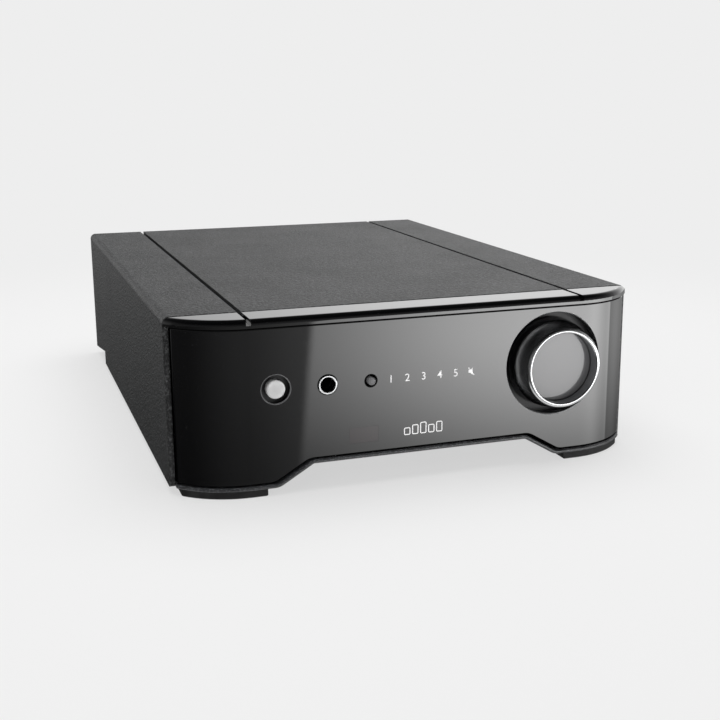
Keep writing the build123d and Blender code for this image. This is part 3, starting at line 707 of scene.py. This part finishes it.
@dataclass
class Artwork:
    """Thin printed marks that are gathered into one mesh on a panel's face."""

    facing: Facing
    face_y: float
    film: float = 0.03 * MM
    root: float = 0.02 * MM

    def __post_init__(self) -> None:
        """Starts an empty mesh."""
        self.mesh = bmesh.new()

    def _stand(self, marks: bmesh.types.BMesh, x: float, z: float) -> None:
        """Turns flat marks upright, gives them thickness and adds them to the mesh.

        Args:
            marks: Faces in the XY plane, about the origin, looking up.
            x: Their place across the panel.
            z: Their place up the panel.
        """
        bmesh.ops.recalc_face_normals(marks, faces=marks.faces)
        for face in marks.faces:
            if face.normal.z < 0:
                face.normal_flip()
        raised = bmesh.ops.extrude_face_region(marks, geom=marks.faces[:], use_keep_orig=True)
        tops = [e for e in raised["geom"] if isinstance(e, bmesh.types.BMVert)]
        bmesh.ops.translate(marks, verts=tops, vec=(0, 0, self.film + self.root))
        bmesh.ops.recalc_face_normals(marks, faces=marks.faces)
        turn = Matrix.Rotation(self.facing.value, 4, "Z") @ Matrix.Rotation(math.pi / 2, 4, "X")
        inward = self.root if self.facing is Facing.FRONT else -self.root
        stand = Matrix.Translation((x, self.face_y + inward, z)) @ turn
        bmesh.ops.transform(marks, matrix=stand, verts=marks.verts)
        part = bpy.data.meshes.new("part")
        marks.to_mesh(part)
        marks.free()
        self.mesh.from_mesh(part)
        bpy.data.meshes.remove(part)

    def text(self, letters: str, x: float, z: float, height: float, weight: float = 0.0) -> None:
        """Adds digits or signs, centred on a place.

        Args:
            letters: The characters.
            x: Centre across the panel.
            z: Centre up the panel.
            height: Height of a digit.
            weight: Stroke gain, negative for finer strokes.
        """
        digit_share = 0.73
        curve = bpy.data.curves.new("digits", "FONT")
        curve.body = letters
        curve.align_x, curve.align_y = "CENTER", "CENTER"
        curve.size = height / digit_share
        curve.offset = weight
        curve.resolution_u = 4
        shape = bpy.data.objects.new("digits", curve)
        bpy.context.scene.collection.objects.link(shape)
        shown = shape.evaluated_get(bpy.context.evaluated_depsgraph_get())
        flat = bpy.data.meshes.new_from_object(shown)
        marks = bmesh.new()
        marks.from_mesh(flat)
        bmesh.ops.remove_doubles(marks, verts=marks.verts, dist=0.002 * MM)
        low = min(v.co.y for v in marks.verts)
        high = max(v.co.y for v in marks.verts)
        bmesh.ops.translate(marks, verts=marks.verts, vec=(0, -(low + high) / 2, 0))
        bpy.data.objects.remove(shape)
        bpy.data.curves.remove(curve)
        bpy.data.meshes.remove(flat)
        self._stand(marks, x, z)

    def frame(
        self, x: float, z: float, width: float, height: float, stroke: float, corner: float
    ) -> None:
        """Adds the outline of a rectangle with rounded corners.

        Args:
            x: Centre across the panel.
            z: Centre up the panel.
            width: Overall width.
            height: Overall height.
            stroke: Width of the line.
            corner: Radius of the corners.
        """
        marks = bmesh.new()
        bmesh.ops.create_grid(marks, x_segments=1, y_segments=1, size=0.5)
        bmesh.ops.scale(marks, vec=(width, height, 1), verts=marks.verts)
        bmesh.ops.bevel(
            marks,
            geom=marks.verts[:],
            offset=corner,
            segments=5,
            profile=0.5,
            affect="VERTICES",
            material=-1,
        )
        inner = marks.faces[:]
        bmesh.ops.inset_individual(marks, faces=inner, thickness=stroke, use_even_offset=True)
        bmesh.ops.delete(marks, geom=inner, context="FACES_ONLY")
        self._stand(marks, x, z)

    def disc(self, x: float, z: float, radius: float) -> None:
        """Adds a filled disc.

        Args:
            x: Centre across the panel.
            z: Centre up the panel.
            radius: Its radius.
        """
        marks = bmesh.new()
        bmesh.ops.create_circle(marks, cap_ends=True, radius=radius, segments=24)
        self._stand(marks, x, z)

    def bar(self, x: float, z: float, length: float, width: float, turn: float = 0.0) -> None:
        """Adds a straight stroke.

        Args:
            x: Centre across the panel.
            z: Centre up the panel.
            length: Its length.
            width: Its width.
            turn: Its angle from level, in degrees.
        """
        marks = bmesh.new()
        bmesh.ops.create_grid(marks, x_segments=1, y_segments=1, size=0.5)
        bmesh.ops.scale(marks, vec=(length, width, 1), verts=marks.verts)
        tilt = Matrix.Rotation(math.radians(turn), 3, "Z")
        bmesh.ops.rotate(marks, verts=marks.verts, matrix=tilt)
        self._stand(marks, x, z)

    def outline(self, x: float, z: float, corners: Sequence[tuple[float, float]]) -> None:
        """Adds a small filled shape from its corners, given about its place.

        Args:
            x: Centre across the panel.
            z: Centre up the panel.
            corners: Its corners in order, about its place.
        """
        marks = bmesh.new()
        points = [marks.verts.new((u, v, 0)) for u, v in corners]
        bmesh.ops.contextual_create(marks, geom=points)
        self._stand(marks, x, z)

    def finish(self, name: str, material: bpy.types.Material) -> bpy.types.Object:
        """Makes the piece and rides it on the case.

        Args:
            name: The piece's name.
            material: Its material.

        Returns:
            The new object.
        """
        data = bpy.data.meshes.new(name)
        self.mesh.to_mesh(data)
        self.mesh.free()
        data.materials.append(material)
        piece = bpy.data.objects.new(name, data)
        bpy.context.scene.collection.objects.link(piece)
        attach(piece, "root")
        log.info("%s: %d faces", name, len(data.polygons))
        return piece


# ---- sub-assemblies ------------------------------------------------------------------------------


@dataclass
class FrontFace:
    """Print on the gloss front: the input numerals, the mute sign and a mark."""

    inputs: int = 5
    first_gap: float = 9.05 * MM
    pitch: float = 7.5 * MM
    digit_height: float = 3.5 * MM
    weight: float = 0.015 * MM
    horn: Sequence[tuple[float, float]] = (
        (-1.3, -0.6),
        (-0.5, -0.6),
        (0.6, -1.6),
        (0.6, 1.6),
        (-0.5, 0.6),
        (-1.3, 0.6),
    )
    mute_shift: float = -0.2 * MM
    mute_stroke: tuple[float, float, float] = (4.4 * MM, 0.34 * MM, -52.0)
    mark_x: float = 0.15 * MM
    mark_z: float = 20.1 * MM
    bar_heights: Sequence[float] = (3.4, 4.4, 5.2, 3.8, 4.8)
    bar_pitch: float = 3.75 * MM
    bar_width: float = 2.95 * MM
    bar_stroke: float = 0.42 * MM
    bar_corner: float = 0.7 * MM

    def build(self, material: bpy.types.Material) -> list[bpy.types.Object]:
        """Makes the numerals and the mark.

        Args:
            material: The print's material.

        Returns:
            The new pieces.
        """
        face_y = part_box("remote_window")[0].y
        return [self._numerals(face_y, material), self._mark(face_y, material)]

    def _numerals(self, face_y: float, material: bpy.types.Material) -> bpy.types.Object:
        """A numeral for each input, then a crossed loudspeaker for mute.

        Args:
            face_y: Depth of the panel's face.
            material: The print's material.

        Returns:
            The new piece.
        """
        art = Artwork(Facing.FRONT, face_y)
        button = middle("select_button")
        for n in range(self.inputs):
            x = button.x + self.first_gap + n * self.pitch
            art.text(str(n + 1), x, button.z, self.digit_height, self.weight)
        x = button.x + self.first_gap + self.inputs * self.pitch + self.mute_shift
        art.outline(x, button.z, [(u * MM, v * MM) for u, v in self.horn])
        art.bar(x, button.z, *self.mute_stroke)
        return art.finish("input_numerals", material)

    def _mark(self, face_y: float, material: bpy.types.Material) -> bpy.types.Object:
        """Outlined level bars that stand on one line.

        Args:
            face_y: Depth of the panel's face.
            material: The print's material.

        Returns:
            The new piece.
        """
        art = Artwork(Facing.FRONT, face_y)
        centre = (len(self.bar_heights) - 1) / 2
        for n, height in enumerate(self.bar_heights):
            x = self.mark_x + (n - centre) * self.bar_pitch
            z = self.mark_z + height / 2 * MM
            art.frame(x, z, self.bar_width, height * MM, self.bar_stroke, self.bar_corner)
        return art.finish("front_level_mark", material)


@dataclass
class RearFace:
    """Print on the rear panel: socket frames, input numbers, polarity and earth signs."""

    stroke: float = 0.3 * MM
    corner: float = 2 * MM
    digit_height: float = 3.0 * MM
    pairs: int = 6
    insulator: float = 6.5 * MM
    label_drop: float = 5.2 * MM
    record_dot: float = 1.1 * MM
    pair_frame: tuple[float, float] = (14.4 * MM, 42 * MM)
    pair_drop: float = 2.6 * MM
    post_frame: tuple[float, float] = (18.4 * MM, 45 * MM)
    sign_reach: float = 5 * MM
    sign: tuple[float, float] = (3 * MM, 0.5 * MM)
    earth_drop: float = 4.5 * MM
    earth_stem: float = 2.4 * MM
    earth_bars: Sequence[float] = (4.4 * MM, 2.8 * MM, 1.2 * MM)
    earth_gap: float = 0.9 * MM
    earth_stroke: float = 0.4 * MM

    def build(self, material: bpy.types.Material) -> list[bpy.types.Object]:
        """Makes the rear print.

        Args:
            material: The print's material.

        Returns:
            The new piece.
        """
        art = Artwork(Facing.REAR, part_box("rear_panel")[1].y)
        self._inputs(art)
        self._speakers(art)
        self._earth(art)
        return [art.finish("rear_print", material)]

    def _inputs(self, art: Artwork) -> None:
        """A frame round each pair of sockets, with a number below or a dot for recording.

        Args:
            art: The rear panel's marks.
        """
        low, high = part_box("phono_insulators_right")
        pitch = (high.x - low.x - self.insulator) / (self.pairs - 1)
        first = high.x - self.insulator / 2
        label_z = low.z - self.label_drop
        centre_z = (low.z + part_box("phono_insulators_left")[1].z) / 2
        for n in range(self.pairs):
            x = first - n * pitch
            if n < self.pairs - 1:
                art.text(str(n + 1), x, label_z, self.digit_height)
            else:
                art.disc(x, label_z, self.record_dot)
            art.frame(x, centre_z - self.pair_drop, *self.pair_frame, self.stroke, self.corner)

    def _speakers(self, art: Artwork) -> None:
        """Plus and minus signs beside the posts, and a frame round each pair.

        Args:
            art: The rear panel's marks.
        """
        for side in ("right", "left"):
            red = middle(f"{side}_speaker_cap_red")
            centre_z = (red.z + middle(f"{side}_speaker_cap_black").z) / 2
            plus_x = red.x + self.sign_reach
            art.frame(red.x, centre_z, *self.post_frame, self.stroke, self.corner)
            art.bar(red.x - self.sign_reach, centre_z, *self.sign)
            art.bar(plus_x, centre_z, *self.sign)
            art.bar(plus_x, centre_z, *self.sign, 90)

    def _earth(self, art: Artwork) -> None:
        """Earth sign below the terminal.

        Args:
            art: The rear panel's marks.
        """
        x, z = middle("ground_nut").x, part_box("ground_nut")[0].z - self.earth_drop
        art.bar(x, z + self.earth_stem / 2, self.earth_stem, self.earth_stroke, 90)
        for n, width in enumerate(self.earth_bars):
            art.bar(x, z - n * self.earth_gap, width, self.earth_stroke)


@dataclass
class Case:
    """The CAD pieces, dressed by their slots."""

    def dress(self, materials: dict[str, bpy.types.Material]) -> None:
        """Gives every CAD node the material of its slot.

        Args:
            materials: Materials by slot name.
        """
        for row in frame["record"]["subparts"]:
            node = frame["nodes"][row["node"]]
            for place in node.material_slots:
                place.material = materials[row["material_slot"]]
            log.info("%s: %s", node.name, row["material_slot"])


# ---- studio --------------------------------------------------------------------------------------


def stage_object(name: str, data: bpy.types.ID, matrix: Matrix) -> bpy.types.Object:
    """Adds an object that belongs to the studio.

    Args:
        name: Its name.
        data: Its mesh, light or camera.
        matrix: Where it stands.

    Returns:
        The new object.
    """
    made = bpy.data.objects.new(name, data)
    made.matrix_world = matrix
    bpy.context.scene.collection.objects.link(made)
    return made


@dataclass(frozen=True)
class Lamp:
    """A square area light that nothing mirrors."""

    name: str
    place: Sequence[float]
    target: Sequence[float]
    size: float
    power: float

    def hang(self) -> bpy.types.Object:
        """Hangs the lamp, turned to its target.

        Returns:
            The lamp.
        """
        data = bpy.data.lights.new(self.name, "AREA")
        data.shape = "SQUARE"
        data.size = self.size
        data.energy = self.power
        aim = (Vector(self.target) - Vector(self.place)).to_track_quat("-Z", "Y")
        lamp = stage_object(self.name, data, Matrix.LocRotScale(self.place, aim, None))
        lamp.visible_glossy = False
        return lamp


@dataclass
class SoftBox:
    """Curved light wall round the front that only glossy surfaces mirror.

    Steps across it are in degrees from straight ahead, and steps up it in metres.
    """

    radius: float = 1.2
    heights: Sequence[float] = (-0.9, 0.06)
    start: float = -80.0
    end: float = 130.0
    facets: int = 64
    edge_turn: float = 12.4
    edge_lean: float = 4.5
    edge_blur: float = 0.35
    rise: Step = (-0.42, -0.15, 0.2, 1.03)
    swell: Step = (6, 28, 1.1, 4.5)
    fade: Step = (45, 74, 1.0, 0.5)
    panel: Step = (76.5, 79.5, 1.0, 0.42)
    panel_fade: Step = (80, 118, 1.0, 0.32)
    dusk: Step = (-0.42, -0.15, 0.65, 1.15)
    spill: Step = (-70, 8, 0.035, 0.16)
    spill_edge: Step = (7, 11.6, 0.0, 0.16)

    def build(self) -> bpy.types.Object:
        """Makes the wall.

        Returns:
            The wall.
        """
        mesh = bmesh.new()
        start = math.radians(self.start)
        foot = (self.radius * math.sin(start), -self.radius * math.cos(start))
        ends = [mesh.verts.new((*foot, z)) for z in self.heights]
        edge = mesh.edges.new(ends)
        bmesh.ops.spin(
            mesh,
            geom=[*ends, edge],
            cent=(0, 0, 0),
            axis=(0, 0, 1),
            angle=math.radians(self.end) - start,
            steps=self.facets,
            use_merge=False,
        )
        data = bpy.data.meshes.new("soft_box")
        mesh.to_mesh(data)
        mesh.free()
        data.materials.append(self._glow())
        wall = stage_object("soft_box", data, Matrix.Identity(4))
        wall.visible_camera = False
        wall.visible_diffuse = False
        wall.visible_shadow = False
        return wall

    def _glow(self) -> bpy.types.Material:
        """Glow with a sharp left edge, a broad bright middle and a dimmer right panel.

        Returns:
            The material.
        """
        material = bpy.data.materials.new("soft_box")
        material.use_nodes = True
        recipe = Recipe(material.node_tree)
        x, y, z = recipe.parts(recipe.place())
        turn = x.angle(0.0 - y) * (180 / math.pi)
        edge = (turn - z * self.edge_lean - self.edge_turn).step(-self.edge_blur, self.edge_blur)
        across = turn.step(*self.swell) * turn.step(*self.fade)
        panel = turn.step(*self.panel) * turn.step(*self.panel_fade)
        bright = z.step(*self.rise) * across * panel
        dim = z.step(*self.dusk) * (turn.step(*self.spill) + turn.step(*self.spill_edge))
        inputs = {"Color": (1, 1, 1, 1), "Strength": bright * edge + dim * (1.0 - edge)}
        glow = recipe.node("ShaderNodeEmission", inputs=inputs)
        recipe.node("ShaderNodeOutputMaterial", inputs={"Surface": glow})
        return material


@dataclass
class Studio:
    """Pale floor, soft light and the camera."""

    backdrop: float = 0.855
    floor_size: float = 12.0
    floor_paint: Colour = (0.84, 0.84, 0.84)
    shade_share: float = 0.3
    shade_reach: Sequence[float] = (0.26, 0.6)
    camera_place: Sequence[float] = (-0.17747, -0.60164, 0.17)
    camera_turn: Sequence[float] = (76.7432, 0.1518, -19.8644)
    lens: float = 57.5428
    shift: Sequence[float] = (-0.03714, -0.01274)
    lamps: Sequence[Lamp] = (
        Lamp("overhead", (0.1, 0.15, 1.3), (0, 0, 0), 1.6, 26.0),
        Lamp("fill", (-1.1, -1.2, 0.7), (0, 0, 0.04), 1.0, 7.0),
    )
    room_gain: float = 0.45
    below: Step = (-0.3, 0.04, 0.0, 1.0)
    above: Step = (0.08, 0.8, 1.5, 0.05)
    behind: Step = (-0.3, 0.65, 0.18, 1.0)
    sides: Step = (0.05, 0.42, 0.85, 1.6)
    under: Step = (-0.72, -0.5, 1.6, 0.0)

    def build(self) -> None:
        """Makes the camera, the floor, the surroundings and the lights."""
        self._camera()
        self._floor()
        self._surroundings()
        for lamp in self.lamps:
            lamp.hang()
        SoftBox().build()

    def _camera(self) -> None:
        """Sets the camera."""
        data = bpy.data.cameras.new("camera")
        data.lens = self.lens
        data.sensor_width = 36.0
        data.shift_x, data.shift_y = self.shift
        data.clip_start, data.clip_end = 0.01, 50.0
        turn = Euler([math.radians(a) for a in self.camera_turn], "XYZ")
        stand = Matrix.LocRotScale(self.camera_place, turn, None)
        bpy.context.scene.camera = stage_object("camera", data, stand)
        bpy.context.scene.view_settings.view_transform = "Standard"

    def _floor(self) -> None:
        """Makes a pale floor that takes only a soft share of shade."""
        mesh = bmesh.new()
        bmesh.ops.create_grid(mesh, x_segments=1, y_segments=1, size=self.floor_size / 2)
        data = bpy.data.meshes.new("floor")
        mesh.to_mesh(data)
        mesh.free()
        data.materials.append(self._floor_paint())
        floor = stage_object("floor", data, Matrix.Identity(4))
        floor.visible_glossy = False

    def _floor_paint(self) -> bpy.types.Material:
        """Steady pale paint that mixes with lit paint near the object.

        Returns:
            The material.
        """
        material = bpy.data.materials.new("floor")
        material.use_nodes = True
        recipe = Recipe(material.node_tree)
        glow = {"Color": (1, 1, 1, 1), "Strength": self.backdrop}
        steady = recipe.node("ShaderNodeEmission", inputs=glow)
        lit = recipe.node("ShaderNodeBsdfDiffuse", inputs={"Color": (*self.floor_paint, 1)})
        x, y, z = recipe.parts(recipe.place())
        share = ((x * x + y * y) ** 0.5).step(*self.shade_reach, self.shade_share, 0.0)
        mixed = recipe.node("ShaderNodeMixShader", inputs={0: share, 1: steady, 2: lit})
        recipe.node("ShaderNodeOutputMaterial", inputs={"Surface": mixed})
        return material

    def _surroundings(self) -> None:
        """Even backdrop for the camera and a soft gradient room for everything else."""
        world = bpy.data.worlds.new("surroundings")
        world.use_nodes = True
        bpy.context.scene.world = world
        recipe = Recipe(world.node_tree)
        x, y, z = recipe.parts(recipe.node("ShaderNodeTexCoord", output="Generated"))
        walls = z.step(*self.below) * z.step(*self.above) * y.step(*self.behind) * x.step(*self.sides)
        room = (walls + z.step(*self.under)) * self.room_gain
        seen = recipe.node("ShaderNodeLightPath", output="Is Camera Ray")
        strength = seen * self.backdrop + (1.0 - seen) * room
        inputs = {"Color": (1, 1, 1, 1), "Strength": strength}
        light = recipe.node("ShaderNodeBackground", inputs=inputs)
        recipe.node("ShaderNodeOutputWorld", inputs={"Surface": light})


def main() -> None:
    """Builds the studio, dresses the case and adds the print."""
    logging.basicConfig(level=logging.INFO, format="%(name)s %(message)s")
    materials = {slot: finish.material(slot) for slot, finish in finishes().items()}
    Studio().build()
    Case().dress(materials)
    # The print ink glows a little, painted brightness that makes the print read white.
    glowing_print_ink = Moulding((0.84, 0.84, 0.84), shine=0.4, glow=0.4).material("glowing_print_ink")
    FrontFace().build(glowing_print_ink)
    RearFace().build(glowing_print_ink)


if __name__ == "__main__":
    main()
